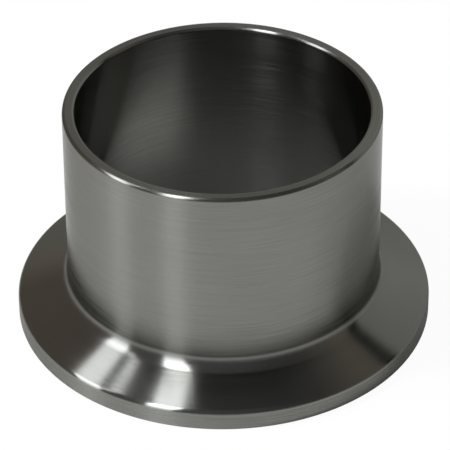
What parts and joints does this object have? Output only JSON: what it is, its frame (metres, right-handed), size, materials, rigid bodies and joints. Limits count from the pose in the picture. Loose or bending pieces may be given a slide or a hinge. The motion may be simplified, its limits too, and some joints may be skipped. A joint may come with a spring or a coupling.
{
  "type": "sanitary clamp ferrule",
  "caption": "Short stainless tube with a bevelled clamp flange and a gasket groove, butt welded to a pipe to give it a quick-release sanitary joint.",
  "frame": {"origin": "centre of the bore in the plane of the flange's sealing face", "axes": "+Z along the tube's axis, from the sealing face to the plain end"},
  "size_m": [0.0506, 0.0506, 0.0286],
  "materials": {
    "stainless_steel": "turned and satin polished"
  },
  "bodies": {
    "root": {"clamp_ferrule": "stainless_steel"}
  },
  "joints": []
}
